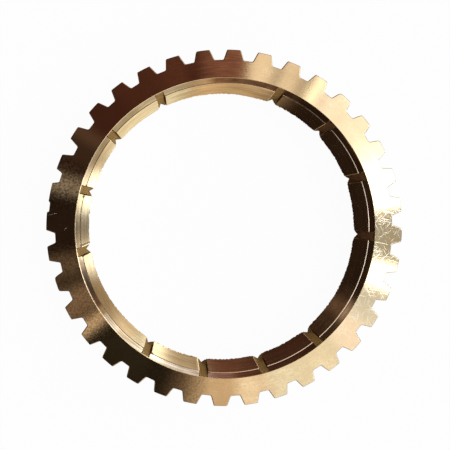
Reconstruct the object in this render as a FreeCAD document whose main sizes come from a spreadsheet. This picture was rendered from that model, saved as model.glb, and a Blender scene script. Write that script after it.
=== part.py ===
import FreeCAD, Part
import os
import Sketcher

# A synchronizer ring: one brass ring, turned inside and out, with blocking teeth round its flange.
# The frame is in millimetres. +Z runs up the ring's axis, the small rear face stands on Z = 0 and the
# flat toothed face is on top. The first key slot and a tooth gap look along +Y.

# Driving dimensions, in millimetres and degrees
SIZES = {
    # bore: friction cone, ledge and lead-in
    "cone_mouth_diameter": 81.2,
    "cone_angle": 6.0,
    "cone_edge_break": 0.2,
    "ledge_width": 0.38,
    "lead_in_depth": 1.85,
    "lead_in_width": 1.1,
    # body ring round the bore
    "ring_height": 14.6,
    "body_wall": 3.9,
    "rear_edge_break": 0.8,
    # web that carries the teeth
    "web_width": 2.6,
    "web_thickness": 2.1,
    "web_chamfer": 0.8,
    # teeth and the gaps between them
    "tooth_count": 36,
    "tooth_length": 4.0,
    "roof_angle": 40.0,
    "gap_depth": 2.9,
    "gap_root_width": 2.6,
    "gap_root_radius": 0.5,
    "gap_flank_angle": 22.5,
    # three neighbouring gaps that are shallower than the rest
    "shallow_gap_number": 7,
    "shallow_depth_before": 1.85,
    "shallow_depth_index": 0.55,
    "shallow_depth_after": 2.4,
    # oil grooves down the friction cone
    "groove_width": 2.5,
    "groove_corner_radius": 0.6,
    "groove_inset": 0.22,
    "groove_slope": 4.8,
    "groove_pitch_angle": 24.0,
    "grooves_between_keys": 4,
    # slots for the strut keys
    "key_count": 3,
    "key_slot_width": 10.0,
    "key_slot_depth": 2.2,
    "key_slot_corner_radius": 0.6,
    # how far a cutter runs past what it cuts
    "cutter_overrun": 1.0,
}

# Radii, from the friction cone outwards, and heights, from the rear face up
CONE_RADIUS = "(Sizes.cone_mouth_diameter / 2)"
LEDGE_RADIUS = f"({CONE_RADIUS} + Sizes.ledge_width)"
LEAD_IN_RADIUS = f"({LEDGE_RADIUS} + Sizes.lead_in_width)"
BODY_RADIUS = f"({CONE_RADIUS} + Sizes.body_wall)"
ROOT_RADIUS = f"({BODY_RADIUS} + Sizes.web_width)"
TIP_RADIUS = f"({ROOT_RADIUS} + Sizes.gap_depth)"
TOP = "Sizes.ring_height"
LEDGE_HEIGHT = "(Sizes.ring_height - Sizes.lead_in_depth)"
WEB_HEIGHT = "(Sizes.ring_height - Sizes.web_thickness)"
RIDGE_HEIGHT = "(Sizes.ring_height - Sizes.tooth_length)"
TOOTH_PITCH = "360 / Sizes.tooth_count"
OVERRUN = "Sizes.cutter_overrun"

# The three shallow gaps: the middle one is the index mark, and shallow_gap_number counts the gaps
# from the first key slot to the first of them
SHALLOW_DEPTHS = ("Sizes.shallow_depth_before", "Sizes.shallow_depth_index", "Sizes.shallow_depth_after")

# The two ends of a sketch line and the sketch's own origin
START = 1
END = 2
SKETCH_ORIGIN = -1

# The least volume, in cubic millimetres, that a feature adds or takes away
LEAST_CHANGE = 1.0

doc = FreeCAD.newDocument("synchronizer_ring")
sheet = doc.addObject("Spreadsheet::Sheet", "Sizes")
for row, (name, size) in enumerate(SIZES.items(), start=1):
    sheet.set(f"A{row}", name)
    sheet.set(f"B{row}", str(size))
    sheet.setAlias(f"B{row}", name)
doc.recompute()

ring = doc.addObject("PartDesign::Body", "synchronizer_ring")
ring.Label = "synchronizer_ring"
ring.Placement = FreeCAD.Placement()


def value(expression):
    """The plain number that an expression gives with the sizes in the sheet."""
    result = sheet.evalExpression(expression)
    return float(getattr(result, "Value", result))


def origin_item(role):
    """The plane or axis of the ring's own origin that has this role."""
    return next(item for item in ring.Origin.OriginFeatures if item.Role == role)


def new_sketch(name, role, height="0", turn="0", tilt="0"):
    """A sketch on one of the origin planes, moved along and turned about its normal, then tilted."""
    sketch = ring.newObject("Sketcher::SketchObject", name)
    sketch.AttachmentSupport = [(origin_item(role), "")]
    sketch.MapMode = "FlatFace"
    move = f"placement(vector(0; 0; {height}); rotation({turn}; 0; {tilt}))"
    sketch.setExpression("AttachmentOffset", move)
    return sketch


def tie(sketch, kind, *place, expression):
    """Adds a size to a sketch and ties it to an expression."""
    number = sketch.addConstraint(Sketcher.Constraint(kind, *place, value(expression)))
    sketch.setExpression(f"Constraints[{number}]", expression)


def draw_outline(sketch, corners):
    """A closed run of straight lines, with each corner tied to a pair of expressions."""
    points = [FreeCAD.Vector(value(across), value(up), 0) for across, up in corners]
    count = len(points)
    for index, point in enumerate(points):
        sketch.addGeometry(Part.LineSegment(point, points[(index + 1) % count]), False)
    for index in range(count):
        sketch.addConstraint(Sketcher.Constraint("Coincident", index, END, (index + 1) % count, START))
    for index, (across, up) in enumerate(corners):
        tie(sketch, "DistanceX", SKETCH_ORIGIN, START, index, START, expression=across)
        tie(sketch, "DistanceY", SKETCH_ORIGIN, START, index, START, expression=up)


def round_corner(sketch, corner, radius):
    """Rounds one corner of an outline."""
    arc = sketch.GeometryCount
    sketch.fillet(corner, START, value(radius), True, True)
    tie(sketch, "Radius", arc, expression=radius)


def add_feature(kind, name, sketch, length=None):
    """A feature made from a sketch, with its length tied to an expression."""
    feature = ring.newObject(kind, name)
    feature.Profile = sketch
    if length:
        feature.setExpression("Length", length)
    return feature


def add_polar_pattern(name, count, angle="360"):
    """A pattern about the ring's axis."""
    pattern = ring.newObject("PartDesign::PolarPattern", name)
    pattern.Axis = (origin_item("Z_Axis"), [""])
    pattern.setExpression("Occurrences", count)
    pattern.setExpression("Angle", angle)
    return pattern


def add_revolution(name, sketch):
    """A turned shape from a section drawn beside the ring's axis."""
    revolution = add_feature("PartDesign::Revolution", name, sketch)
    revolution.ReferenceAxis = (sketch, ["V_Axis"])
    revolution.Angle = 360


def add_flange():
    """The flange as a plain disc, left open where the body ring goes in."""
    inner = f"({LEAD_IN_RADIUS} + {BODY_RADIUS}) / 2"
    sketch = new_sketch("flange_section", "XZ_Plane")
    draw_outline(sketch, [
        (inner, RIDGE_HEIGHT),
        (TIP_RADIUS, RIDGE_HEIGHT),
        (TIP_RADIUS, TOP),
        (inner, TOP),
    ])
    add_revolution("flange", sketch)


def cut_troughs():
    """The troughs behind the tooth gaps, cut across the rear of the flange.

    The two slopes of a trough meet those of the next troughs in a ridge on each tooth, which gives
    the teeth their roof-shaped rear ends. Its flat bottom is the rear of the web between the teeth.
    """
    half_top = f"({TIP_RADIUS} + {OVERRUN} / 4) * sin({TOOTH_PITCH} / 2)"
    run = "(Sizes.tooth_length - Sizes.web_thickness) / tan(Sizes.roof_angle)"
    half_bottom = f"({half_top} - {run})"
    sketch = new_sketch("trough_outline", "XZ_Plane", height=f"-{LEAD_IN_RADIUS}")
    draw_outline(sketch, [
        (f"-{half_bottom}", WEB_HEIGHT),
        (half_bottom, WEB_HEIGHT),
        (half_top, RIDGE_HEIGHT),
        (f"-{half_top}", RIDGE_HEIGHT),
    ])
    length = f"{TIP_RADIUS} + {OVERRUN} - {LEAD_IN_RADIUS}"
    trough = add_feature("PartDesign::Pocket", "trough", sketch, length=length)
    troughs = add_polar_pattern("troughs", "Sizes.tooth_count")
    troughs.Originals = [trough]
    ring.Tip = troughs


def cut_gap(name, depth, gap_number):
    """A tooth gap cut along the ring's axis: straight flanks and a flat root with rounded corners."""
    half_root = "(Sizes.gap_root_width / 2)"
    half_mouth = f"({half_root} + ({depth} + {OVERRUN}) * tan(Sizes.gap_flank_angle))"
    root = f"({TIP_RADIUS} - {depth})"
    mouth = f"({TIP_RADIUS} + {OVERRUN})"
    turn = f"({gap_number}) * {TOOTH_PITCH}"
    sketch = new_sketch(f"{name}_outline", "XY_Plane", height=TOP, turn=turn)
    draw_outline(sketch, [
        (f"-{half_root}", root),
        (half_root, root),
        (half_mouth, mouth),
        (f"-{half_mouth}", mouth),
    ])
    for corner in (0, 1):
        round_corner(sketch, corner, "Sizes.gap_root_radius")
    return add_feature("PartDesign::Pocket", name, sketch, length=f"Sizes.tooth_length + {OVERRUN}")


def cut_gaps():
    """The tooth gaps: the shallow ones one by one, the rest as a pattern that starts after them."""
    shallow_count = len(SHALLOW_DEPTHS)
    for index, depth in enumerate(SHALLOW_DEPTHS):
        cut_gap(f"shallow_gap_{index + 1}", depth, f"Sizes.shallow_gap_number + {index}")
    gap = cut_gap("gap", "Sizes.gap_depth", f"Sizes.shallow_gap_number + {shallow_count}")
    count = f"Sizes.tooth_count - {shallow_count}"
    gaps = add_polar_pattern("gaps", count, f"({count} - 1) * {TOOTH_PITCH}")
    gaps.Originals = [gap]
    ring.Tip = gaps


def add_body_ring():
    """The ring inside the flange, turned to its section, with a chamfer where it meets the web."""
    web_corner = f"{BODY_RADIUS} + Sizes.web_chamfer"
    rear_radius = f"({CONE_RADIUS} - {LEDGE_HEIGHT} * tan(Sizes.cone_angle))"
    sketch = new_sketch("ring_section", "XZ_Plane")
    draw_outline(sketch, [
        (f"{rear_radius} + Sizes.cone_edge_break", "0"),
        (f"{BODY_RADIUS} - Sizes.rear_edge_break", "0"),
        (BODY_RADIUS, "Sizes.rear_edge_break"),
        (BODY_RADIUS, f"{WEB_HEIGHT} - Sizes.web_chamfer"),
        (web_corner, WEB_HEIGHT),
        (web_corner, TOP),
        (LEAD_IN_RADIUS, TOP),
        (LEDGE_RADIUS, LEDGE_HEIGHT),
        (CONE_RADIUS, LEDGE_HEIGHT),
        (f"{rear_radius} + Sizes.cone_edge_break * tan(Sizes.cone_angle)", "Sizes.cone_edge_break"),
    ])
    add_revolution("body_ring", sketch)


def cut_key_slots():
    """Slots for the strut keys, cut into the outside of the body from the rear face to the teeth."""
    half_width = "(Sizes.key_slot_width / 2)"
    floor = f"({BODY_RADIUS} - Sizes.key_slot_depth)"
    sketch = new_sketch("key_slot_outline", "XY_Plane")
    draw_outline(sketch, [
        (f"-{half_width}", floor),
        (half_width, floor),
        (half_width, f"{BODY_RADIUS} + {OVERRUN}"),
        (f"-{half_width}", f"{BODY_RADIUS} + {OVERRUN}"),
    ])
    for corner in (0, 1):
        round_corner(sketch, corner, "Sizes.key_slot_corner_radius")
    slot = add_feature("PartDesign::Pocket", "key_slot", sketch, length=RIDGE_HEIGHT)
    slot.Reversed = True
    slots = add_polar_pattern("key_slots", "Sizes.key_count")
    slots.Originals = [slot]
    ring.Tip = slots


def cut_oil_grooves():
    """Oil grooves down the friction cone, one group between each two keys.

    A groove's floor starts just inside the lead-in, so the edge of the toothed face stays whole, and
    it slopes less than the cone. No groove lies in line with a key slot, where the wall is thin.
    """
    half_width = "(Sizes.groove_width / 2)"
    floor = f"({LEAD_IN_RADIUS} - Sizes.groove_inset) * cos(Sizes.groove_slope)"
    inside = f"({floor} - 2 * Sizes.groove_width)"
    sketch = new_sketch("oil_groove_outline", "XY_Plane", height=TOP,
                        turn="Sizes.groove_pitch_angle", tilt="-Sizes.groove_slope")
    draw_outline(sketch, [
        (f"-{half_width}", inside),
        (half_width, inside),
        (half_width, floor),
        (f"-{half_width}", floor),
    ])
    for corner in (2, 3):
        round_corner(sketch, corner, "Sizes.groove_corner_radius")
    groove = add_feature("PartDesign::Pocket", "oil_groove", sketch)
    groove.Type = "ThroughAll"
    groove.Midplane = True
    grooves = ring.newObject("PartDesign::MultiTransform", "oil_grooves")
    grooves.Originals = [groove]
    group_angle = "Sizes.groove_pitch_angle * (Sizes.grooves_between_keys - 1)"
    grooves.Transformations = [
        add_polar_pattern("groove_group", "Sizes.grooves_between_keys", group_angle),
        add_polar_pattern("groove_groups", "Sizes.key_count"),
    ]
    ring.Tip = grooves


def stop_if_failed():
    """Stops at an object that failed, and at a body that isn't one valid solid."""
    for item in doc.Objects:
        if "Invalid" in item.State or "Error" in item.State:
            raise RuntimeError(f"{item.Name} failed: {item.State}")
    if ring.Shape.isNull() or not ring.Shape.isValid() or len(ring.Shape.Solids) != 1:
        raise RuntimeError("the ring isn't one valid solid")


STEPS = (add_flange, cut_troughs, cut_gaps, add_body_ring, cut_key_slots, cut_oil_grooves)

volume = 0.0
for step in STEPS:
    step()
    doc.recompute()
    stop_if_failed()
    change = ring.Shape.Volume - volume
    if abs(change) < LEAST_CHANGE:
        raise RuntimeError(f"{step.__name__} changed nothing")
    print(f"{step.__name__}: {change:+.1f} mm3")
    volume = ring.Shape.Volume

os.makedirs("parts", exist_ok=True)
ring.Shape.exportStep(f"parts/{ring.Label}.step")
print(f"{ring.Label}: {volume:.1f} mm3, {len(ring.Shape.Faces)} faces")
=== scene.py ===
import math

import bmesh
import bpy
import numpy as np
from mathutils import Matrix, Vector


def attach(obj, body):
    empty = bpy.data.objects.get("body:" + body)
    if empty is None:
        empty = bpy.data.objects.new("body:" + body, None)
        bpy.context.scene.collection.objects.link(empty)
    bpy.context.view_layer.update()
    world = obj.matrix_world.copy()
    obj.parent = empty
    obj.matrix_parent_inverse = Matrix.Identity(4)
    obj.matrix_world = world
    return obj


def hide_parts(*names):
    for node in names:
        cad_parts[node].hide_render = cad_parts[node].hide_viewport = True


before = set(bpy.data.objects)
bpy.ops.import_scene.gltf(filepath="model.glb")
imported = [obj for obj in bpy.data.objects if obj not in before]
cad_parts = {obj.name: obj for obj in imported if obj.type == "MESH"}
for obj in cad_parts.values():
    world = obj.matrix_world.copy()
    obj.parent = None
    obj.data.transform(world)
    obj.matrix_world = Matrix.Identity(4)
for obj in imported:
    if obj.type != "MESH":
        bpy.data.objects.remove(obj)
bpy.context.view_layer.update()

# The looks of a synchronizer ring. Lengths are in millimetres until the mesh is made, and angles in
# degrees. Azimuths run from +X towards +Y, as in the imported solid, unless they are called the picture's.

MILLIMETRE = 0.001
rng = np.random.default_rng(36)

# The ring's own sizes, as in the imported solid: radii, heights above the rear face, slopes and edge breaks
CONE_MOUTH = 40.6
LEDGE_RADIUS = 40.98
LEAD_IN_RADIUS = 42.08
BODY_RADIUS = 44.5
ROOT_RADIUS = 47.1
TIP_RADIUS = 50.0
RIDGE_HEIGHT = 10.6
WEB_HEIGHT = 12.5
LEDGE_HEIGHT = 12.75
RING_HEIGHT = 14.6
CONE_SLOPE = math.tan(math.radians(6.0))
LEAD_IN_SLOPE = (LEAD_IN_RADIUS - LEDGE_RADIUS) / (RING_HEIGHT - LEDGE_HEIGHT)
CONE_BREAK = 0.2
WEB_CHAMFER = 0.8
REAR_BREAK = 0.8

# Teeth and the gaps between them. The shallow gaps are numbered from the first gap
TOOTH_COUNT = 36
PITCH = 360 / TOOTH_COUNT
FIRST_GAP = 90.0
GAP_AZIMUTHS = [FIRST_GAP + PITCH * k for k in range(TOOTH_COUNT)]
GAP_DEPTH = TIP_RADIUS - ROOT_RADIUS
SHALLOW_DEPTHS = {7: 1.85, 8: 0.55, 9: 2.4}
GAP_HALF_ROOT = 1.3
GAP_FILLET = 0.5
FLANK_ANGLE = 22.5
ROOF_SLOPE = math.tan(math.radians(40.0))
TROUGH_OVERRUN = 0.25
TROUGH_HALF_TOP = (TIP_RADIUS + TROUGH_OVERRUN) * math.sin(math.radians(PITCH / 2))
TROUGH_HALF = TROUGH_HALF_TOP - (WEB_HEIGHT - RIDGE_HEIGHT) / ROOF_SLOPE

# Key slots in the body, and oil grooves down the cone, four between each two slots
KEY_AZIMUTHS = [FIRST_GAP + 120 * k for k in range(3)]
SLOT_HALF = 5.0
SLOT_FLOOR = 42.3
SLOT_FILLET = 0.6
GROOVE_AZIMUTHS = [key + 24 * k for key in KEY_AZIMUTHS for k in range(1, 5)]
GROOVE_HALF = 1.25
GROOVE_FILLET = 0.6
GROOVE_INSET = 0.22
GROOVE_START = LEAD_IN_RADIUS - GROOVE_INSET
GROOVE_SLOPE = math.tan(math.radians(4.8))

# Small forms that only the looks have. An edge is rounded over EDGE, with a point at EDGE_POINT of it
EDGE = 0.1
EDGE_POINT = 0.3
CONE_EDGE_REACH = 0.19
CONE_EDGE_DROP = 0.13
FACE_EDGE_DROP = 0.025
V_END_HEIGHT = 4.0
NICK_DEPTH = 0.22
RUBBED_DEPTH = 0.35
RUBBED_SPAN = 2.0
TIP_DROPS = (0.0, 0.1)
CORNER_LENGTHS = (0.15, 0.35)
# Teeth whose tips are chipped or worn: how far the tip is down, and the rounding of its two corners.
# Tooth 0 comes after the first gap
WORN_TEETH = {
    5: (0.06, 0.4, 0.15), 8: (0.0, 0.1, 0.12), 10: (0.35, 0.75, 0.5), 17: (0.05, 0.15, 0.35),
    26: (0.05, 0.4, 0.5), 28: (0.05, 0.5, 0.5), 29: (0.08, 0.5, 0.6), 30: (0.08, 0.5, 0.65),
    31: (0.1, 0.7, 0.75),
}

# Where the mesh has its points. Stations across a groove and a slot run from the edge to the middle
ARC_STEP = 22.5
FLANK_STATIONS = (0.3, 0.65)
CORNER_BLEND = (0.22, 0.56, 0.22)
GROOVE_STATIONS = np.array((1.44, 1.35, 1.26, 1.16, 1.06, 0.96, 0.84, 0.68, 0.0))
GROOVE_STATION_RADIUS = 41.2
SLOT_STATIONS = np.array((5.16, 5.03, 4.88, 4.76, 4.64, 4.52, 4.38, 0.0))
GROOVE_SPREAD = np.degrees(np.arcsin(GROOVE_STATIONS / GROOVE_STATION_RADIUS))
SLOT_SPREAD = np.degrees(np.arcsin(SLOT_STATIONS / BODY_RADIUS))
OUTLINE_CLEARANCE = 0.035
COLUMN_CLEARANCE = 0.01
MITRE_LIMIT = 0.6
QUARTERS = (0.25, 0.5, 0.75, 1.0)
FACE_MARGIN = 0.12
CORNER_STATIONS = (0.0, 0.3, 0.6, 1.0)
BODY_HEIGHTS = (RIDGE_HEIGHT, 8.0, 5.4, 2.8, REAR_BREAK)
REAR_SEAM = 41.5
CREASE = 0.01
WELD_DISTANCE = 0.002
CONE_HEIGHTS = (*np.linspace(0.9, LEDGE_HEIGHT - 0.5, 15), LEDGE_HEIGHT - 0.25)
GROOVE_TOP = RING_HEIGHT - LEDGE_HEIGHT - GROOVE_INSET / (LEAD_IN_SLOPE - GROOVE_SLOPE)
LEAD_IN_HEIGHTS = (0.2, 0.35, 0.5, 0.75, 1.0, 1.25, GROOVE_TOP, 1.6, 1.77)
FACE_RADII = (LEAD_IN_RADIUS + 0.07, LEAD_IN_RADIUS + 0.19, 43.3)
ROUNDING = 1e-6
SHARP_ANGLE = 32


def around(centre, across, out):
    """x and y of points given across and along the radius at an azimuth."""
    angle = np.radians(centre)
    cos, sin = np.cos(angle), np.sin(angle)
    return np.stack([out * cos - across * sin, out * sin + across * cos], -1)


def polar(radius, azimuth):
    """x and y of points on circles."""
    return around(azimuth, 0.0 * np.asarray(radius, float), radius)


def level(points, height):
    """Points lifted to a height."""
    return np.column_stack([points, np.broadcast_to(height, len(points))])


def from_middle(azimuth, centres):
    """For each column the nearest of some azimuths, and how far the column is from it."""
    gaps = (azimuth[:, None] - np.array(centres)[None, :] + 180) % 360 - 180
    nearest = np.argmin(np.abs(gaps), axis=1)
    return np.array(centres)[nearest], gaps[np.arange(len(azimuth)), nearest]


def section_at(away, spread, values):
    """Values along a groove's or slot's section, for columns this far from its middle."""
    order = np.argsort(spread)
    return np.interp(np.abs(away), spread[order], values[order])


def gap_side(depth, tip_radius, corner):
    """Half a tooth gap, from the middle of its root to the tip of the tooth beside it."""
    flank = math.radians(FLANK_ANGLE)
    root = TIP_RADIUS - depth
    tangent = GAP_FILLET * math.tan((math.pi / 2 - flank) / 2)
    flat = GAP_HALF_ROOT - tangent
    points = [(0.0, root), (flat / 2, root), (flat, root)]
    for k in (1, 2, 3):
        angle = math.radians(k * ARC_STEP - 90)
        points.append((flat + GAP_FILLET * math.cos(angle), root + GAP_FILLET * (1 + math.sin(angle))))
    step = np.array([math.sin(flank), math.cos(flank)])
    start = np.array([GAP_HALF_ROOT, root])
    along = float(start @ step)
    length = -along + math.sqrt(along ** 2 - float(start @ start) + tip_radius ** 2)
    flank_end = length - corner
    stops = [tangent + (flank_end - tangent) * share for share in FLANK_STATIONS] + [flank_end]
    kink = (TROUGH_HALF - GAP_HALF_ROOT) / step[0]
    if tangent < kink < flank_end:
        stops.append(kink)
    points += [tuple(start + step * stop) for stop in sorted(stops)]
    end = start + step * length
    reach = math.degrees(math.atan2(end[0], end[1])) + math.degrees(corner / tip_radius)
    tip = np.array([math.sin(math.radians(reach)), math.cos(math.radians(reach))]) * tip_radius
    before, middle, after = CORNER_BLEND
    points.append(tuple(before * (start + step * flank_end) + middle * end + after * tip))
    points.append(tuple(tip))
    return np.array(points), reach


def tooth_outline():
    """The outline of the toothed flange: azimuths and points, in order."""
    drops = rng.uniform(*TIP_DROPS, TOOTH_COUNT)
    corners = rng.uniform(*CORNER_LENGTHS, (TOOTH_COUNT, 2))
    for tooth, (drop, left, right) in WORN_TEETH.items():
        drops[tooth] = drop
        corners[tooth] = (left, right)
    points = []
    for gap, centre in enumerate(GAP_AZIMUTHS):
        depth = SHALLOW_DEPTHS.get(gap, GAP_DEPTH)
        for side, tooth in ((-1, (gap - 1) % TOOTH_COUNT), (1, gap)):
            tip_radius = TIP_RADIUS - drops[tooth]
            half, reach = gap_side(depth, tip_radius, corners[tooth][0 if side > 0 else 1])
            first = 0 if side > 0 else 1
            points += [around(centre, side * x, y) for x, y in half[first:]]
            for share in (0.5, 1.0) if side > 0 else (0.5,):
                azimuth = centre + side * (reach + (PITCH / 2 - reach) * share)
                points.append(polar(tip_radius, azimuth))
    points = np.array(points)
    azimuth = np.degrees(np.arctan2(points[:, 1], points[:, 0])) % 360
    order = np.argsort(azimuth)
    return azimuth[order], points[order]


def columns():
    """Azimuths of the mesh's columns and the flange outline's point in each."""
    azimuth, points = tooth_outline()
    extra = set()
    for centres, spread in ((GROOVE_AZIMUTHS, GROOVE_SPREAD), (KEY_AZIMUTHS, SLOT_SPREAD)):
        for centre in centres:
            extra.update((centre + side * away) % 360 for away in spread for side in (1, -1))
    kept = []
    for place in sorted(extra):
        nearest = np.min(np.abs((azimuth - place + 180) % 360 - 180))
        if nearest > OUTLINE_CLEARANCE and (not kept or place - kept[-1] > COLUMN_CLEARANCE):
            kept.append(place)
    every = np.sort(np.concatenate([azimuth, kept]))
    xs = np.interp(every, azimuth, points[:, 0], period=360)
    ys = np.interp(every, azimuth, points[:, 1], period=360)
    return every, np.stack([xs, ys], -1)


def offset(points, inwards):
    """The outline moved into the metal by a small amount."""
    normals = 0
    for part in (points - np.roll(points, 1, 0), np.roll(points, -1, 0) - points):
        normal = np.stack([-part[:, 1], part[:, 0]], -1)
        normals = normals + normal / np.linalg.norm(normal, axis=1)[:, None]
    mitre = np.einsum("ij,ij->i", normals, normals)[:, None] / 2
    return points + normals / np.maximum(mitre, MITRE_LIMIT) * inwards


def groove_section(z, land):
    """Half of an oil groove's section at one height: across, out, and whether it is open there."""
    floor = GROOVE_START - (RING_HEIGHT - z) * GROOVE_SLOPE
    wall_end = floor - GROOVE_FILLET
    across = [GROOVE_HALF + EDGE, GROOVE_HALF + EDGE_POINT * EDGE, GROOVE_HALF, GROOVE_HALF]
    out = [0.0, land + EDGE_POINT * EDGE, land + EDGE, wall_end]
    for k in (1, 2, 3, 4):
        angle = math.radians(k * ARC_STEP)
        across.append(GROOVE_HALF - GROOVE_FILLET * (1 - math.cos(angle)))
        out.append(wall_end + GROOVE_FILLET * math.sin(angle))
    across, out = np.array(across + [0.0]), np.array(out + [floor])
    # towards the cone's small end the section narrows to a V
    narrow = np.interp(z, (0.0, V_END_HEIGHT), (1.0, 0.0))
    vee = land + (floor - land) * np.clip(1 - across[2:] / GROOVE_HALF, 0, 1)
    out[2:] += (vee - out[2:]) * narrow
    ground = np.sqrt(land ** 2 - across ** 2)
    out[1:3] = np.minimum(out[1:3], np.maximum(ground[1:3], out[3]))
    return across, np.maximum(out, ground), floor > land


def slot_section():
    """Half of a key slot's section: across and out."""
    across = [SLOT_HALF + EDGE, SLOT_HALF, SLOT_HALF]
    out = [math.sqrt(BODY_RADIUS ** 2 - across[0] ** 2),
           math.sqrt(BODY_RADIUS ** 2 - SLOT_HALF ** 2) - EDGE,
           SLOT_FLOOR + SLOT_FILLET]
    for k in (1, 2, 3, 4):
        angle = math.radians(k * ARC_STEP)
        across.append(SLOT_HALF - SLOT_FILLET * (1 - math.cos(angle)))
        out.append(SLOT_FLOOR + SLOT_FILLET * (1 - math.sin(angle)))
    return np.array(across + [0.0]), np.array(out + [SLOT_FLOOR])


class RingMesh:
    """The ring as rows of points, once round its section from the toothed face outwards.

    Every row has a point in each column, and a region names the surface from one row to the next.
    """

    def __init__(self):
        self.azimuth, self.outline = columns()
        self.gap_centre, self.from_gap = from_middle(self.azimuth, GAP_AZIMUTHS)
        self.groove_centre, self.from_groove = from_middle(self.azimuth, GROOVE_AZIMUTHS)
        self.seam = self.circle(BODY_RADIUS)
        self.rear_seam = self.circle(REAR_SEAM)
        self.rows = [level(self.seam, RING_HEIGHT)]
        self.regions = []
        self.add_toothed_face()
        self.add_teeth()
        self.add_body()
        self.add_bore()

    def add(self, row, region):
        """One more row, and the name of the surface between it and the row before."""
        self.rows.append(row)
        self.regions.append(region)

    def circle(self, radius):
        """x and y of a circle's point in each column."""
        return polar(np.full(len(self.azimuth), radius), self.azimuth)

    def add_toothed_face(self):
        """The flat face from the seam over the body to the teeth, and its rounded edge."""
        inner_edge = offset(self.outline, EDGE + FACE_MARGIN)
        for share in QUARTERS:
            self.add(level(self.seam + (inner_edge - self.seam) * share, RING_HEIGHT), "face")
        self.add(level(offset(self.outline, EDGE), RING_HEIGHT), "face")
        point = EDGE_POINT * EDGE
        self.add(level(offset(self.outline, point), RING_HEIGHT - point), "edge")
        self.add(level(self.outline, RING_HEIGHT - EDGE), "edge")

    def trough_edges(self):
        """For each column, where its gap's outline crosses the edge of its trough."""
        edges = np.empty(len(self.azimuth))
        for centre in np.unique(self.gap_centre):
            mine = self.gap_centre == centre
            away = np.abs(self.from_gap[mine])
            across = np.linalg.norm(self.outline[mine], axis=1) * np.sin(np.radians(away))
            order = np.argsort(across)
            edges[mine] = np.interp(TROUGH_HALF, across[order], away[order])
        return edges

    def roof(self, radius, edges):
        """Points on the rear of the teeth, with the columns bent to follow the trough's edges."""
        bent = []
        for away, edge, distance in zip(np.abs(self.from_gap), edges, radius):
            straight = math.degrees(math.asin(TROUGH_HALF / distance))
            bent.append(np.interp(away, [0, edge, PITCH / 2], [0, straight, PITCH / 2]))
        bent = np.array(bent) * np.sign(self.from_gap)
        across = np.abs(radius * np.sin(np.radians(bent)))
        height = WEB_HEIGHT - np.maximum(0, across - TROUGH_HALF) * ROOF_SLOPE
        return np.column_stack([polar(radius, self.gap_centre + bent), height])

    def add_teeth(self):
        """The sides of the teeth, their roof-shaped rears and the chamfer down to the body."""
        across = np.abs(np.linalg.norm(self.outline, axis=1) * np.sin(np.radians(self.from_gap)))
        rear = WEB_HEIGHT - np.maximum(0, across - TROUGH_HALF) * ROOF_SLOPE
        top = RING_HEIGHT - EDGE
        for share in QUARTERS:
            self.add(level(self.outline, top + (rear + EDGE - top) * share), "tooth")
        point = EDGE_POINT * EDGE
        self.add(level(offset(self.outline, point), rear + point), "tooth")
        edges = self.trough_edges()
        start = np.linalg.norm(offset(self.outline, EDGE), axis=1)
        at_body = self.roof(np.full(len(self.azimuth), BODY_RADIUS), edges)
        corner = BODY_RADIUS + WEB_CHAMFER - (WEB_HEIGHT - at_body[:, 2])
        corner = np.maximum(corner, BODY_RADIUS)
        for share in CORNER_STATIONS:
            self.add(self.roof(start + (corner - start) * share, edges), "tooth")
        foot = np.minimum(WEB_HEIGHT - WEB_CHAMFER, at_body[:, 2])
        self.add(np.column_stack([at_body[:, :2], foot]), "body")

    def add_body(self):
        """The outside of the body with its key slots, and the rear face as far as its seam."""
        self.add(level(self.seam, RIDGE_HEIGHT), "body")
        centre, away = from_middle(self.azimuth, KEY_AZIMUTHS)
        inside = np.abs(away) <= SLOT_SPREAD[0] + ROUNDING
        slot_across, slot_out = slot_section()
        across = section_at(away, SLOT_SPREAD, slot_across) * np.sign(away)
        out = section_at(away, SLOT_SPREAD, slot_out)
        wall = self.seam.copy()
        wall[inside] = around(centre, across, out)[inside]
        for height in BODY_HEIGHTS:
            self.add(level(wall, height), "body")
        rim_radius = BODY_RADIUS - REAR_BREAK
        rim = self.seam * (rim_radius / BODY_RADIUS)
        rim_out = np.minimum(out, np.sqrt(rim_radius ** 2 - across ** 2))
        rim[inside] = around(centre, across, rim_out)[inside]
        self.add(level(rim, 0.0), "body")
        self.add(level((rim + self.rear_seam) / 2, 0.0), "body")
        self.add(level(self.rear_seam, 0.0), "body")

    def bore_row(self, land, z, wear=0.0):
        """A row of the bore: a circle with the oil grooves in it, and worn where wear is given."""
        worn = np.full(len(self.azimuth), land) + wear
        row = polar(worn, self.azimuth)
        groove_across, groove_out, is_open = groove_section(z, land)
        if is_open:
            inside = np.abs(self.from_groove) <= GROOVE_SPREAD[0] + ROUNDING
            across = section_at(self.from_groove, GROOVE_SPREAD, groove_across)
            across = across * np.sign(self.from_groove)
            out = section_at(self.from_groove, GROOVE_SPREAD, groove_out)
            out = np.maximum(out, np.sqrt(worn ** 2 - across ** 2))
            row[inside] = around(self.groove_centre, across, out)[inside]
        return level(row, z)

    def add_bore(self):
        """The inner rim with its nicks, the cone, the ledge, the lead-in and the face's inner edge."""
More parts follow.
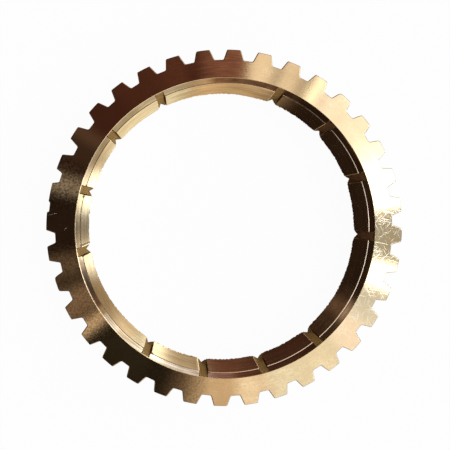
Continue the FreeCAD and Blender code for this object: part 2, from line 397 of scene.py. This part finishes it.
        # the small end is nicked all round, and its corners are rubbed round beside each groove
        beside = np.clip(1 - (np.abs(self.from_groove) - GROOVE_SPREAD[0]) / RUBBED_SPAN, 0, 1)
        nicks = NICK_DEPTH * rng.uniform(0, 1, len(self.azimuth)) ** 2 + RUBBED_DEPTH * beside ** 2
        cone_end = CONE_MOUTH - LEDGE_HEIGHT * CONE_SLOPE
        inner_rim = self.bore_row(cone_end + CONE_BREAK, 0.0, nicks)
        self.add(level((inner_rim[:, :2] + self.rear_seam) / 2, 0.0), "body")
        self.add(inner_rim, "body")
        break_radius = CONE_MOUTH - (LEDGE_HEIGHT - CONE_BREAK) * CONE_SLOPE
        self.add(self.bore_row(break_radius, CONE_BREAK, nicks), "bore")
        for z in CONE_HEIGHTS:
            self.add(self.bore_row(CONE_MOUTH - (LEDGE_HEIGHT - z) * CONE_SLOPE, z), "bore")
        self.add(self.bore_row(CONE_MOUTH - CREASE, LEDGE_HEIGHT - CONE_EDGE_DROP), "bore")
        self.add(self.bore_row(CONE_MOUTH + CONE_EDGE_REACH, LEDGE_HEIGHT), "cone_edge")
        self.add(self.bore_row(LEDGE_RADIUS - CREASE, LEDGE_HEIGHT), "ledge")
        for z in LEAD_IN_HEIGHTS:
            self.add(self.bore_row(LEDGE_RADIUS + z * LEAD_IN_SLOPE, LEDGE_HEIGHT + z), "lead_in")
        self.add(self.bore_row(LEAD_IN_RADIUS + CREASE, RING_HEIGHT - FACE_EDGE_DROP), "lead_in")
        for radius in FACE_RADII:
            self.add(level(self.circle(radius), RING_HEIGHT), "face")
        self.regions.append("face")

    def groove_parts(self):
        """For the surface after each column: groove_floor, groove_wall, or None outside the grooves."""
        away = np.abs(self.from_groove)
        in_groove = away < (GROOVE_SPREAD[1] + GROOVE_SPREAD[2]) / 2
        on_floor = away < (GROOVE_SPREAD[4] + GROOVE_SPREAD[5]) / 2
        parts = []
        for k in range(len(away)):
            after = (k + 1) % len(away)
            floor = on_floor[k] and on_floor[after]
            inside = in_groove[k] and in_groove[after]
            parts.append(("groove_floor" if floor else "groove_wall") if inside else None)
        return parts

    def faces(self):
        """The mesh's faces, each as four points' numbers, and the name of the surface it is on."""
        count = len(self.azimuth)
        parts = self.groove_parts()
        quads, surfaces = [], []
        for i, region in enumerate(self.regions):
            here, there = i * count, ((i + 1) % len(self.rows)) * count
            in_bore = region in ("lead_in", "ledge", "cone_edge", "bore")
            for j in range(count):
                k = (j + 1) % count
                quads.append((here + j, there + j, there + k, here + k))
                surfaces.append(parts[j] if in_bore and parts[j] else region)
        return quads, surfaces


def make_ring(materials):
    """The ring's object, with a material for each surface."""
    shape = RingMesh()
    quads, surfaces = shape.faces()
    mesh = bpy.data.meshes.new("synchronizer_ring_visual")
    mesh.from_pydata((np.concatenate(shape.rows) * MILLIMETRE).tolist(), [], quads)
    for material in materials.values():
        mesh.materials.append(material)
    slots = {surface: number for number, surface in enumerate(materials)}
    mesh.polygons.foreach_set("material_index", [slots[surface] for surface in surfaces])
    bm = bmesh.new()
    bm.from_mesh(mesh)
    bmesh.ops.remove_doubles(bm, verts=bm.verts, dist=WELD_DISTANCE * MILLIMETRE)
    bmesh.ops.recalc_face_normals(bm, faces=bm.faces)
    bm.to_mesh(mesh)
    bm.free()
    mesh.polygons.foreach_set("use_smooth", [True] * len(mesh.polygons))
    mesh.set_sharp_from_angle(angle=math.radians(SHARP_ANGLE))
    ring = bpy.data.objects.new("synchronizer_ring_visual", mesh)
    bpy.context.scene.collection.objects.link(ring)
    return ring


class Nodes:
    """A short way to write a node tree."""

    def __init__(self, owner):
        owner.use_nodes = True
        self.tree = owner.node_tree
        self.tree.nodes.clear()

    def add(self, kind, inputs=None, **settings):
        """A node, with its inputs set to values or linked to other nodes' outputs."""
        node = self.tree.nodes.new(kind)
        for key, item in settings.items():
            setattr(node, key, item)
        for key, item in (inputs or {}).items():
            if isinstance(item, bpy.types.NodeSocket):
                self.tree.links.new(item, node.inputs[key])
            else:
                node.inputs[key].default_value = item
        return node

    def math(self, operation, a, b=0.0, clamp=False):
        node = self.add("ShaderNodeMath", {0: a, 1: b}, operation=operation, use_clamp=clamp)
        return node.outputs[0]

    def vector(self, operation, a, b=(0.0, 0.0, 0.0)):
        node = self.add("ShaderNodeVectorMath", {0: a, 1: b}, operation=operation)
        return node.outputs["Value" if operation in ("DOT_PRODUCT", "LENGTH") else "Vector"]

    def split(self, vector):
        return self.add("ShaderNodeSeparateXYZ", {0: vector}).outputs

    def flat_length(self, vector):
        """The length of a vector's level part."""
        return self.vector("LENGTH", self.vector("MULTIPLY", vector, (1.0, 1.0, 0.0)))

    def ramp(self, value, low, high, to_low=0.0, to_high=1.0, smooth=True):
        """A value carried from one range to another, and held at its ends."""
        inputs = {"Value": value, "From Min": low, "From Max": high, "To Min": to_low, "To Max": to_high}
        kind = "SMOOTHSTEP" if smooth else "LINEAR"
        return self.add("ShaderNodeMapRange", inputs, interpolation_type=kind).outputs["Result"]

    def noise(self, vector, scale, detail, rough):
        inputs = {"Vector": vector, "Scale": scale, "Detail": detail, "Roughness": rough}
        return self.add("ShaderNodeTexNoise", inputs).outputs["Fac"]

    def mix(self, share, a, b):
        node = self.add("ShaderNodeMix", {0: share, 6: a, 7: b}, data_type="RGBA")
        return node.outputs[2]

    def bump(self, height, distance, more=None):
        inputs = {"Height": height, "Strength": 1.0, "Distance": distance, **(more or {})}
        return self.add("ShaderNodeBump", inputs).outputs[0]


def rgb(r, g, b):
    return (r, g, b, 1.0)


# Patterns in the metal: how fine per metre, how many octaves, and how rough
CLOUDS = (55.0, 5.0, 0.6)
GRAIN = (1900.0, 2.0, 0.7)
MOTTLE = (420.0, 4.0, 0.7)
SCORING = (2000.0, 0.0, 0.5)
SCRATCHES = (2600.0, 1.0, 0.5)
TURNING_OCTAVES = 3.0
TURNING_ROUGHNESS = 0.7
# Turning lines follow the radius and the height, and drift slowly round the ring
LINE_HEIGHT_SHARE = 0.7
LINE_DRIFT = 0.06
# The levels of a pattern between which it fades in, and how far it then darkens the metal
CLOUD_LEVELS = (0.35, 0.7)
FINISH_LEVELS = (0.3, 0.7)
LINE_LEVELS = (0.35, 0.65)
GRAIN_LEVELS = (0.42, 0.68)
GRAIN_SHARE = 0.85
MOTTLE_LEVELS = (0.45, 0.7)
MOTTLE_SHARE = 0.6
PATCH_LEVELS = (0.35, 0.65)
SCORE_LEVELS = (0.5, 0.57)
SCRATCH_LEVELS = (0.6, 0.7)
# The fine scratches: their directions, how much longer than wide, their depth in metres, and how
# much of them shows outside the scuffed sectors
SCRATCH_TURNS = (25.0, -48.0, 78.0, -15.0)
SCRATCH_STRETCH = 12
SCRATCH_DEPTH = 2e-6
SCRATCHES_ELSEWHERE = 0.04
# A single scratch is full over this share of its half width, and roughens the metal by this much
SCRATCH_CORE = 0.3
SCRATCH_ROUGHNESS = 0.5
STEP_FILTER = 0.002

# Colours of the metal, of what stains it, and of painted highlights and painted shade
GOLD = rgb(0.88, 0.65, 0.36)
GOLD_DARK = rgb(0.66, 0.455, 0.23)
CONE_GOLD = rgb(0.82, 0.62, 0.35)
CONE_GOLD_DARK = rgb(0.55, 0.38, 0.18)
LEAD_IN_GOLD = rgb(0.84, 0.64, 0.37)
LEAD_IN_GOLD_DARK = rgb(0.5, 0.34, 0.16)
STRAW = rgb(1.0, 0.84, 0.58)
PINK_HIGHLIGHT = rgb(1.0, 0.82, 0.6)
ORANGE_HIGHLIGHT = rgb(1.0, 0.78, 0.5)
FRESH_SCRATCH = rgb(0.95, 0.85, 0.62)
TAN_STAIN = rgb(0.38, 0.26, 0.13)
OLIVE_STAIN = rgb(0.19, 0.12, 0.05)
GREY_SHADE = rgb(0.3, 0.25, 0.17)
BROWN_SHADE = rgb(0.2, 0.14, 0.09)
STAIN_AND_SHADE = rgb(0.2, 0.11, 0.06)
RED_STAIN = rgb(0.14, 0.06, 0.025)
DARK_RED_SHADE = rgb(0.092, 0.039, 0.019)
SOOT = rgb(0.08, 0.055, 0.035)
DARK_SHADE = rgb(0.04, 0.02, 0.012)


class BrassNodes(Nodes):
    """A node tree with the patterns that all the brass shares."""

    def __init__(self, material, line_scale):
        super().__init__(material)
        self.place = self.add("ShaderNodeTexCoord").outputs["Object"]
        x, y, self.height = self.split(self.place)
        climb = self.math("MULTIPLY", self.height, LINE_HEIGHT_SHARE)
        depth = self.math("ADD", self.flat_length(self.place), climb)
        drifts = [self.math("MULTIPLY", axis, LINE_DRIFT) for axis in (x, y)]
        self.lathe = self.add("ShaderNodeCombineXYZ", {0: drifts[0], 1: depth, 2: drifts[1]}).outputs[0]
        self.turning = self.noise(self.lathe, line_scale, TURNING_OCTAVES, TURNING_ROUGHNESS)
        self.clouds = self.noise(self.place, *CLOUDS)
        self.grain = self.noise(self.place, *GRAIN)
        self.mottle = self.noise(self.place, *MOTTLE)

    def sector(self, centre, half, soft):
        """1 within half of an azimuth, falling to 0 over soft degrees."""
        angle = math.radians(centre)
        along = self.vector("DOT_PRODUCT", self.place, (math.cos(angle), math.sin(angle), 0.0))
        share = self.math("DIVIDE", along, self.flat_length(self.place))
        return self.ramp(share, math.cos(math.radians(half + soft)), math.cos(math.radians(half)))

    def tone(self, colour, dark, lines):
        """The metal's colour, darkened by its patterns."""
        tone = self.mix(self.ramp(self.clouds, *CLOUD_LEVELS), dark, colour)
        for pattern, levels, share in ((self.turning, LINE_LEVELS, lines),
                                       (self.grain, GRAIN_LEVELS, GRAIN_SHARE),
                                       (self.mottle, MOTTLE_LEVELS, MOTTLE_SHARE)):
            tone = self.mix(self.ramp(pattern, *levels, 0.0, share), tone, dark)
        return tone

    def patch(self, tone, centre, half, soft, share, kind, tint):
        """The colour with a sector of stain, painted highlight or painted shade, which shows through a
        pattern.
        """
        # the least share is what still shows where the pattern is weak
        pattern, least = {"grain": (self.grain, 0.0), "lines": (self.turning, 0.1),
                          "solid": (self.mottle, 0.8)}[kind]
        speckle = self.ramp(pattern, *PATCH_LEVELS, least * share, share)
        return self.mix(self.math("MULTIPLY", self.sector(centre, half, soft), speckle), tone, tint)

    def fine_scratches(self):
        """Fine straight scratches in four directions: 1 on a scratch."""
        marks = None
        for turn in SCRATCH_TURNS:
            along = self.add("ShaderNodeMapping", {
                "Vector": self.place,
                "Rotation": (0, 0, math.radians(turn)),
                "Scale": (1, SCRATCH_STRETCH, 1),
            }, vector_type="TEXTURE").outputs[0]
            mark = self.ramp(self.noise(along, *SCRATCHES), *SCRATCH_LEVELS)
            marks = self.math("MAXIMUM", marks, mark) if marks else mark
        return marks

    def scuffed(self, scuffs):
        """The fine scratches, strong in the scuffed sectors and faint elsewhere."""
        where = SCRATCHES_ELSEWHERE
        for centre, half, soft, share in scuffs:
            where = self.math("MAXIMUM", self.math("MULTIPLY", self.sector(centre, half, soft), share), where)
        return self.math("MULTIPLY", self.fine_scratches(), where)

    def single_scratch(self, start, end, half_width):
        """1 on a line between two points of the toothed face."""
        start, end = Vector((*start, 0)) * MILLIMETRE, Vector((*end, 0)) * MILLIMETRE
        half_width = half_width * MILLIMETRE
        along = (end - start).normalized()
        aside = Vector((-along.y, along.x, 0))
        reach = self.vector("DOT_PRODUCT", self.place, tuple(along))
        off = self.math("SUBTRACT", self.vector("DOT_PRODUCT", self.place, tuple(aside)), start.dot(aside))
        mark = self.ramp(self.math("ABSOLUTE", off), half_width, SCRATCH_CORE * half_width)
        mark = self.math("MULTIPLY", mark, self.math("GREATER_THAN", reach, start.dot(along)))
        return self.math("MULTIPLY", mark, self.math("LESS_THAN", reach, end.dot(along)))


def brass(name, colour, dark, across, along, steps=None, patches=(), scuffs=(), singles=(), lines=0.5,
          line_scale=2600.0, grit=0.5e-6, cloud=0.02, score=0.0):
    """Turned or cut brass, in a colour and its dark form.

    across and along are its spread of slopes across and along the turning lines.
    steps is the pitch in metres and the slope of a fine thread round the axis.
    patches are sectors of stain, painted highlight or painted shade: azimuth, half width, soft edge, share,
    pattern and colour.
    scuffs are scratched sectors: azimuth, half width, soft edge and share.
    singles are scratches on the toothed face: two ends, half width, share and colour.
    lines and line_scale are how strong and how fine the turning lines are, grit is the height of the
    grain in metres, cloud is how much the finish changes, and score how strong dark turned lines are.
    """
    material = bpy.data.materials.new(name)
    nodes = BrassNodes(material, line_scale)
    tone = nodes.tone(colour, dark, lines)
    for patch in patches:
        tone = nodes.patch(tone, *patch)
    if score:
        scoring = nodes.noise(nodes.lathe, *SCORING)
        tone = nodes.mix(nodes.ramp(scoring, *SCORE_LEVELS, 0.0, score), tone, STAIN_AND_SHADE)
    # a roughness is the square root of a spread, and this one's spread is the middle of the two
    middle = (across * along) ** 0.25
    rough = nodes.ramp(nodes.clouds, *FINISH_LEVELS, middle * (1 - cloud), middle * (1 + cloud))
    normal = nodes.bump(nodes.grain, grit)
    if scuffs:
        marks = nodes.scuffed(scuffs)
        normal = nodes.bump(marks, SCRATCH_DEPTH, {"Normal": normal})
        tone = nodes.mix(marks, tone, FRESH_SCRATCH)
    for start, end, half_width, share, tint in singles:
        mark = nodes.single_scratch(start, end, half_width)
        tone = nodes.mix(nodes.math("MULTIPLY", mark, share), tone, tint)
        rough = nodes.math("MAXIMUM", rough, nodes.math("MULTIPLY", mark, SCRATCH_ROUGHNESS * share))
    if steps:
        pitch, slope = steps
        saw = nodes.math("FRACT", nodes.math("MULTIPLY", nodes.height, -1 / pitch))
        normal = nodes.bump(saw, pitch * slope, {"Filter Width": STEP_FILTER, "Normal": normal})
    tangent = nodes.add("ShaderNodeTangent", direction_type="RADIAL", axis="Z").outputs[0]
    shader = nodes.add("ShaderNodeBsdfAnisotropic", {
        "Color": tone, "Roughness": rough, "Anisotropy": 1 - math.sqrt(along / across),
        "Normal": normal, "Tangent": tangent,
    }, distribution="BECKMANN")
    nodes.add("ShaderNodeOutputMaterial", {"Surface": shader.outputs[0]})
    return material


def faced_flange():
    """The toothed face: facing lines that draw the light out, stained at places and scratched."""
    patches = (
        (90.0, 9.0, 5.0, 0.5, "lines", STAIN_AND_SHADE), (161.0, 6.0, 4.0, 0.8, "grain", STAIN_AND_SHADE),
        (200.0, 16.0, 6.0, 0.5, "grain", STAIN_AND_SHADE), (248.0, 8.0, 5.0, 0.45, "grain", STAIN_AND_SHADE),
    )
    scuffs = ((-5.8, 8.0, 2.0, 0.6), (-31.0, 6.0, 4.0, 0.3), (181.0, 8.0, 3.0, 0.1), (195.0, 10.0, 5.0, 0.1))
    singles = (
        ((-49.3, 6.3), (-46.9, 6.8), 0.12, 0.35, STRAW), ((-45.1, 1.9), (-44.2, 3.0), 0.15, 0.35, STRAW),
        ((-43.3, 6.6), (-42.9, 6.7), 0.15, 0.2, STRAW), ((43.5, -4.7), (45.6, -3.1), 0.15, 0.6, STRAW),
        ((44.9, -3.9), (46.8, -2.8), 0.15, 0.6, STRAW), ((44.5, -17.2), (46.4, -19.6), 0.17, 0.9, SOOT),
    )
    return brass("faced_flange", GOLD, GOLD_DARK, across=0.03, along=0.003, grit=0.9e-6, patches=patches,
                 scuffs=scuffs, singles=singles)


def lead_in():
    """The lead-in: a coarse turned cone, scored, with stained sectors, and pale ones that stand for light."""
    patches = (
        (128.0, 32.0, 6.0, 1.0, "solid", TAN_STAIN), (216.0, 3.0, 2.0, 0.8, "solid", STRAW),
        (232.0, 12.0, 3.0, 0.4, "solid", STRAW), (257.0, 11.0, 4.0, 1.0, "solid", PINK_HIGHLIGHT),
        (77.0, 14.0, 5.0, 0.97, "solid", RED_STAIN), (198.8, 8.0, 3.0, 1.0, "solid", STAIN_AND_SHADE),
        (198.0, 3.5, 4.0, 1.0, "solid", SOOT), (134.5, 8.0, 5.0, 0.7, "solid", OLIVE_STAIN),
        (79.0, 4.0, 4.0, 0.5, "solid", SOOT), (323.0, 3.0, 3.0, 0.9, "solid", ORANGE_HIGHLIGHT),
    )
    return brass("lead_in", LEAD_IN_GOLD, LEAD_IN_GOLD_DARK, across=0.06, along=0.03, steps=(0.0002, 0.72),
                 lines=0.8, line_scale=1000.0, score=0.4, patches=patches)


def friction_cone():
    """The cone: a fine thread, with one darker sector of painted shade that dims a reflection there."""
    return brass("friction_cone", CONE_GOLD, CONE_GOLD_DARK, across=0.05, along=0.03, steps=(0.0003, 1.55),
                 line_scale=700.0, score=0.3, patches=((322.5, 5.0, 4.0, 0.85, "solid", STAIN_AND_SHADE),))


def groove_floor():
    """The floors of the oil grooves: dull, and darker in three of them, which stands for shade."""
    return brass("groove_floor", rgb(0.41, 0.25, 0.09), rgb(0.25, 0.14, 0.045), across=0.3, along=0.3,
                 steps=(0.0003, 0.9), cloud=0.05,
                 patches=((18.0, 32.0, 10.0, 1.0, "solid", DARK_RED_SHADE),))


def ledge():
    """The narrow ledge between cone and lead-in: a bright line, with dark sectors that stand for shade."""
    patches = ((50.0, 10.0, 7.0, 1.0, "solid", DARK_SHADE), (22.0, 12.0, 10.0, 1.0, "solid", BROWN_SHADE),
               (341.0, 6.0, 5.0, 0.5, "solid", GREY_SHADE))
    return brass("ledge", rgb(0.78, 0.55, 0.36), rgb(0.64, 0.44, 0.27), across=0.05, along=0.02,
                 patches=patches)


def cone_edge():
    """The worn edge between cone and ledge: the cone's brass, smooth."""
    return brass("cone_edge", CONE_GOLD, CONE_GOLD_DARK, across=0.1, along=0.03)


def groove_wall():
    """The walls of the oil grooves: dark and dull."""
    return brass("groove_wall", rgb(0.13, 0.08, 0.03), rgb(0.08, 0.05, 0.02), across=0.3, along=0.3)


def cut_teeth():
    """The sides and rears of the teeth: cut, not turned, so their shine is the same all ways."""
    return brass("cut_teeth", rgb(0.55, 0.39, 0.2), rgb(0.4, 0.27, 0.13), across=0.12, along=0.12)


def tooth_edge():
    """The rounded edge of the toothed face, near black: painted shade that shows as a thin dark line."""
    return brass("tooth_edge", rgb(0.08, 0.068, 0.05), rgb(0.05, 0.042, 0.03), across=0.3, along=0.3)


def turned_body():
    """The outside of the body and its rear face: plain turned brass."""
    return brass("turned_body", GOLD, GOLD_DARK, across=0.12, along=0.05)


# The surfaces of the ring and their materials
MATERIALS = {
    "face": faced_flange(),
    "tooth": cut_teeth(),
    "body": turned_body(),
    "lead_in": lead_in(),
    "bore": friction_cone(),
    "groove_floor": groove_floor(),
    "ledge": ledge(),
    "edge": tooth_edge(),
    "groove_wall": groove_wall(),
    "cone_edge": cone_edge(),
}

ring = make_ring(MATERIALS)
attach(ring, "root")
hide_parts("synchronizer_ring")

# The camera, worked out from the photograph's perspective. Its eye is given from the middle of the
# toothed face. The picture is turned against the solid, so its azimuths are 2.97 degrees more
PICTURE_TURN = math.radians(-2.97)
EYE_IN_PICTURE = (-21.6, 8.85, 240.2)
LEAN_ABOUT_X = math.radians(-1.85)
LEAN_ABOUT_Y = math.radians(-4.98)
PICTURE_PIXELS = 450
FOCAL_PIXELS = 862.2
SENSOR_WIDTH = 36.0
CLIP_START = 0.01
PICTURE_TO_RING = Matrix.Rotation(PICTURE_TURN, 3, "Z")


def make_camera():
    """The camera, looking down on the ring."""
    data = bpy.data.cameras.new("camera")
    data.sensor_width = SENSOR_WIDTH
    data.lens = FOCAL_PIXELS / PICTURE_PIXELS * SENSOR_WIDTH
    data.clip_start = CLIP_START
    camera = bpy.data.objects.new("camera", data)
    eye = (PICTURE_TO_RING @ Vector(EYE_IN_PICTURE) + Vector((0, 0, RING_HEIGHT))) * MILLIMETRE
    lean = Matrix.Rotation(LEAN_ABOUT_X, 3, "X") @ Matrix.Rotation(LEAN_ABOUT_Y, 3, "Y")
    camera.matrix_world = Matrix.Translation(eye) @ (PICTURE_TO_RING @ lean).to_4x4()
    bpy.context.scene.collection.objects.link(camera)
    bpy.context.scene.camera = camera


# The floor, in metres. This much of its white is its own, and the rest is lit and keeps the shadow
FLOOR_HALF = 4.0
FLOOR_OWN_WHITE = 0.96
FLOOR_PALE = rgb(0.93, 0.93, 0.93)
WHITE = rgb(1.0, 1.0, 1.0)


def make_floor():
    """A white floor, which mirrors as white too."""
    mesh = bpy.data.meshes.new("floor")
    corners = [(x * FLOOR_HALF, y * FLOOR_HALF, 0) for x, y in ((-1, -1), (1, -1), (1, 1), (-1, 1))]
    mesh.from_pydata(corners, [], [(0, 1, 2, 3)])
    floor = bpy.data.objects.new("floor", mesh)
    bpy.context.scene.collection.objects.link(floor)
    material = bpy.data.materials.new("floor_white")
    nodes = Nodes(material)
    lit = nodes.add("ShaderNodeBsdfDiffuse", {"Color": FLOOR_PALE}).outputs[0]
    own = nodes.add("ShaderNodeEmission", {"Color": WHITE, "Strength": 1.0}).outputs[0]
    path = nodes.add("ShaderNodeLightPath").outputs
    seen = nodes.math("ADD", path["Is Camera Ray"], path["Is Glossy Ray"], clamp=True)
    seen = nodes.math("ADD", seen, path["Is Transmission Ray"], clamp=True)
    share = nodes.math("MULTIPLY", seen, FLOOR_OWN_WHITE)
    surface = nodes.add("ShaderNodeMixShader", {0: share, 1: lit, 2: own}).outputs[0]
    nodes.add("ShaderNodeOutputMaterial", {"Surface": surface})
    mesh.materials.append(material)


# Colours of the studio's light
SKY = (0.76, 0.82, 1.0)
COOL = (0.68, 0.8, 1.0)
ICE = (0.8, 0.89, 1.0)
CLEAR = (0.95, 0.95, 1.0)
WARM = (1.0, 0.89, 0.8)
ROSE = (1.0, 0.8, 0.7)
DUSK = (1.0, 0.66, 0.6)
RED = (1.0, 0.52, 0.48)
DEEP_RED = (1.0, 0.42, 0.37)
# The studio is a fan of soft panels round the ring. Each starts at an azimuth of the picture, counted
# on past 360, with a soft edge, a strength and a colour, and reaches to the next one. Their places and
# strengths were matched to the photograph's bright and dark sectors, from brightnesses measured in it
# and in the renders. The high panels are what the toothed face mirrors
SEAM = 217.2
HIGH_PANELS = (
    (SEAM, 0.6, 0.029, WARM), (250.5, 3.0, 0.17, ROSE), (256.4, 2.4, 0.56, WARM), (261.5, 2.0, 0.84, WARM),
    (273.8, 0.8, 1.22, CLEAR), (281.0, 1.0, 1.08, CLEAR), (285.5, 1.0, 1.38, ICE), (297.0, 1.5, 1.42, ICE),
    (301.0, 1.5, 1.5, ICE), (309.0, 1.0, 1.42, ICE), (313.0, 1.0, 1.82, SKY), (325.5, 1.5, 1.62, COOL),
    (331.5, 1.5, 1.38, COOL), (339.1, 0.7, 6.0, COOL), (347.5, 0.7, 1.05, ICE), (349.8, 1.0, 0.72, ICE),
    (363.5, 1.0, 0.88, SKY), (367.7, 0.7, 6.0, COOL), (384.0, 1.5, 3.2, SKY), (391.0, 3.0, 2.3, SKY),
    (399.0, 3.0, 2.1, SKY), (412.0, 1.5, 1.65, SKY), (415.8, 0.5, 2.6, ICE), (419.5, 0.7, 0.7, CLEAR),
    (424.5, 1.5, 1.2, CLEAR), (430.5, 1.0, 0.65, CLEAR), (434.0, 1.5, 1.3, CLEAR), (442.6, 0.7, 0.42, DUSK),
    (445.0, 1.0, 0.34, RED), (455.0, 2.0, 0.26, RED), (458.8, 0.7, 0.11, DEEP_RED),
    (473.0, 2.0, 0.087, DEEP_RED), (489.0, 2.0, 0.068, DEEP_RED), (504.0, 0.8, 0.12, DUSK),
    (508.5, 1.0, 0.055, DUSK), (521.8, 1.3, 0.38, CLEAR), (528.0, 1.3, 0.024, DUSK),
    (549.0, 1.3, 0.15, ROSE), (556.0, 1.3, 0.075, ROSE), (561.5, 1.0, 0.3, ROSE), (570.0, 0.7, 0.14, ROSE),
    (573.2, 0.5, 0.85, WARM),
)
# The low panels are what the bore mirrors, on its far side
LOW_PANELS = (
    (SEAM, 1.0, 0.034, DUSK), (246.0, 2.0, 0.45, ROSE), (254.0, 2.0, 0.84, WARM), (266.0, 3.0, 0.92, WARM),
    (273.0, 2.0, 1.25, WARM), (281.5, 1.0, 0.75, WARM), (286.0, 1.0, 1.6, ICE), (300.0, 3.0, 1.9, ICE),
    (328.0, 2.0, 0.92, CLEAR), (338.0, 1.0, 5.5, COOL), (351.0, 1.3, 1.25, COOL), (354.5, 1.5, 0.46, SKY),
    (364.5, 1.3, 0.94, CLEAR), (369.5, 1.0, 4.4, COOL), (376.5, 1.5, 0.52, CLEAR), (381.0, 2.0, 0.52, WARM),
    (398.0, 1.5, 1.0, CLEAR), (401.0, 1.5, 1.5, CLEAR), (410.0, 2.0, 1.15, ICE), (417.5, 1.0, 5.5, COOL),
    (423.0, 1.5, 0.95, CLEAR), (429.0, 1.5, 0.86, CLEAR), (440.0, 1.5, 0.23, RED), (455.0, 2.0, 0.16, RED),
    (464.0, 3.0, 0.08, RED), (488.0, 5.0, 0.06, DUSK), (503.0, 0.8, 0.6, ROSE), (507.8, 1.0, 0.034, DUSK),
    (520.0, 8.0, 0.034, DUSK),
)
# A colour ramp holds 32 stops, so each fan is cut into spans that stay under that
HIGH_SPANS = 4
LOW_SPANS = 3
# The middle of the fan is where the toothed face mirrors the camera. The high panels reach HIGH_REACH
# from it and give way to the low ones by LOW_REACH. Down from HORIZON_TOP the studio turns white
FAN_MIDDLE = PICTURE_TO_RING @ Vector((0.0878, -0.036, 0.0))
HIGH_REACH = 0.48
LOW_REACH = 0.6
HORIZON_TOP = 0.36
HORIZON_FOOT = 0.29


def fan(nodes, azimuth, panels, spans):
    """The panels' light at an azimuth, from one colour ramp for each span of the circle."""
    stops, lights = [], []
    light = np.multiply(panels[-1][2], panels[-1][3])
    for start, soft, strength, colour in panels:
        stops += [start - soft, start + soft]
        lights += [light, np.multiply(strength, colour)]
        light = lights[-1]
    stops, lights = np.array(stops), np.array(lights)
    tone = None
    for span in range(spans):
        low, high = (SEAM + 360 / spans * k for k in (span, span + 1))
        places = np.concatenate([[low], stops[(stops > low) & (stops < high)], [high]])
        shares = (places - low) / (high - low)
        node = nodes.add("ShaderNodeValToRGB", {0: nodes.ramp(azimuth, low, high, smooth=False)})
        elements = node.color_ramp.elements
        for share in shares[1:-1]:
            elements.new(share)
        for element, share, place in zip(elements, shares, places):
            element.position = share
            element.color = [*(np.interp(place, stops, lights[:, channel]) for channel in range(3)), 1.0]
        passed = nodes.math("GREATER_THAN", azimuth, low)
        tone = nodes.mix(passed, tone, node.outputs[0]) if tone else node.outputs[0]
    return tone


def make_world():
    """The studio: the two fans of panels, and white below the horizon."""
    world = bpy.data.worlds.new("studio")
    bpy.context.scene.world = world
    nodes = Nodes(world)
    direction = nodes.add("ShaderNodeTexCoord").outputs["Generated"]
    away = nodes.vector("SUBTRACT", direction, tuple(FAN_MIDDLE))
    x, y, _ = nodes.split(away)
    degrees = nodes.math("MULTIPLY", nodes.math("ARCTAN2", y, x), 180 / math.pi)
    past_seam = nodes.math("SUBTRACT", degrees, SEAM + math.degrees(PICTURE_TURN))
    azimuth = nodes.math("ADD", nodes.math("FLOORED_MODULO", past_seam, 360.0), SEAM)
    high = fan(nodes, azimuth, HIGH_PANELS, HIGH_SPANS)
    low = fan(nodes, azimuth, LOW_PANELS, LOW_SPANS)
    light = nodes.mix(nodes.ramp(nodes.flat_length(away), HIGH_REACH, LOW_REACH), high, low)
    height = nodes.split(direction)["Z"]
    light = nodes.mix(nodes.ramp(height, HORIZON_TOP, HORIZON_FOOT), light, WHITE)
    back = nodes.add("ShaderNodeBackground", {"Color": light, "Strength": 1.0})
    nodes.add("ShaderNodeOutputWorld", {"Surface": back.outputs[0]})


make_camera()
make_floor()
make_world()
bpy.context.scene.view_settings.view_transform = "Standard"
